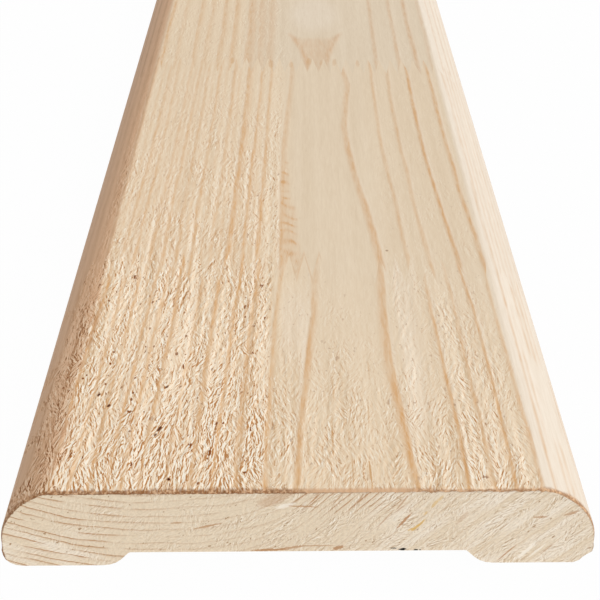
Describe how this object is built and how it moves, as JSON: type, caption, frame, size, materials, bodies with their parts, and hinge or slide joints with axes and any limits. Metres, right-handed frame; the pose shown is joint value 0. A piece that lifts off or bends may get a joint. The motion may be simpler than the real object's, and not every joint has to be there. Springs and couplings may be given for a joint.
{
  "type": "architrave moulding",
  "caption": "Straight softwood architrave moulding with a flat sawn face, rounded edges and a hollow back, finger-jointed and unfinished, for trimming a door or window opening.",
  "frame": {"origin": "under the middle of the stick, on the plane of its two back feet", "axes": "+X across the width, +Y along the length, +Z from the back up to the face"},
  "size_m": [0.07, 2.2, 0.013],
  "materials": {
    "pine": "raw fine-sawn face, planed edges and back, sawn ends"
  },
  "bodies": {
    "root": {"architrave_moulding": "pine"}
  },
  "joints": []
}
